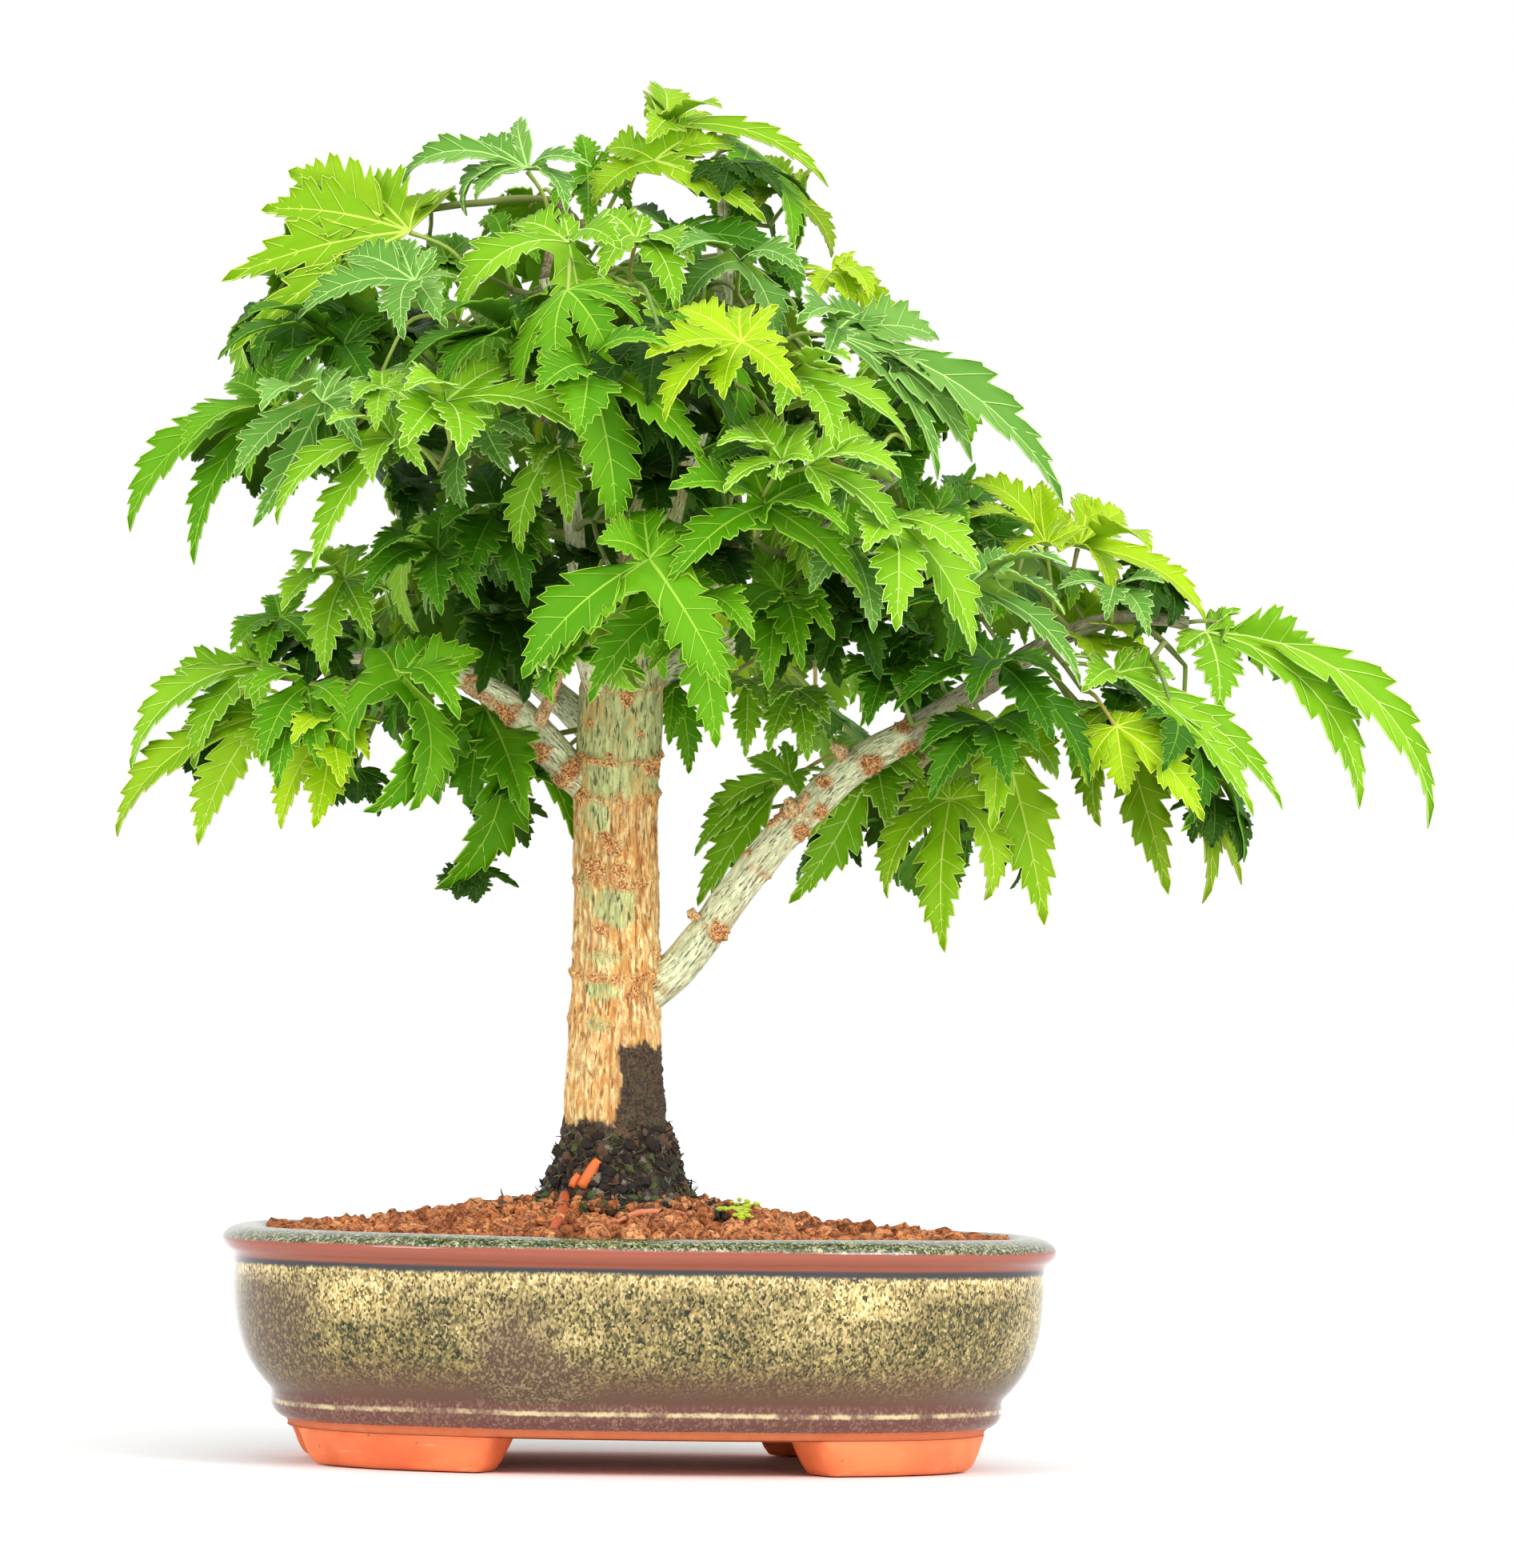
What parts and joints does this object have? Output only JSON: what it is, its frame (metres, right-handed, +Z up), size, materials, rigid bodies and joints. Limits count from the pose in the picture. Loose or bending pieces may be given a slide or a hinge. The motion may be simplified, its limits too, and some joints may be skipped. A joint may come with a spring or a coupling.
{
  "type": "japanese maple bonsai in a pot",
  "caption": "Small broadleaf tree trained as a bonsai, with drooping tiers of lobed leaves over a straight trunk, in a low oval glazed pot on feet.",
  "frame": {"origin": "middle of the whole plant's footprint box, on the surface the pot stands on", "axes": "+Z up, X along the pot's long side with the long low bough to +X, the pot's front towards -Y"},
  "size_m": [0.3024, 0.2026, 0.3149],
  "materials": {
    "glaze": "gloss",
    "terracotta": "matte",
    "soil": "matte",
    "moss": "matte",
    "bark": "matte",
    "young_bark": "matte",
    "leaf": "satin"
  },
  "bodies": {
    "root": {"pot": "glaze", "pot_foot_front_left": "terracotta", "pot_foot_front_right": "terracotta", "pot_foot_back_left": "terracotta", "pot_foot_back_right": "terracotta", "soil": "soil", "moss_collar": "moss", "trunk": "bark", "bough_right": "young_bark", "bough_left": "young_bark", "leader_left": "young_bark", "leader_top": "young_bark", "limb_upper_right": "young_bark", "limb_back_left": "young_bark", "limb_back_right": "young_bark", "foliage_apex": "leaf", "foliage_top_left": "leaf", "foliage_upper_left": "leaf", "foliage_left_sweep": "leaf", "foliage_front": "leaf", "foliage_crown": "leaf", "foliage_right_sweep": "leaf", "foliage_front_low": "leaf", "foliage_mid_left": "leaf", "foliage_mid_right": "leaf", "foliage_low_left": "leaf", "foliage_left_hanging": "leaf", "foliage_under": "leaf", "foliage_low_middle": "leaf", "foliage_right": "leaf", "foliage_right_far": "leaf", "foliage_right_low": "leaf", "foliage_right_hanging": "leaf", "foliage_back": "leaf", "foliage_back_left": "leaf", "foliage_back_low_left": "leaf", "foliage_back_right": "leaf", "foliage_back_low": "leaf"}
  },
  "joints": []
}
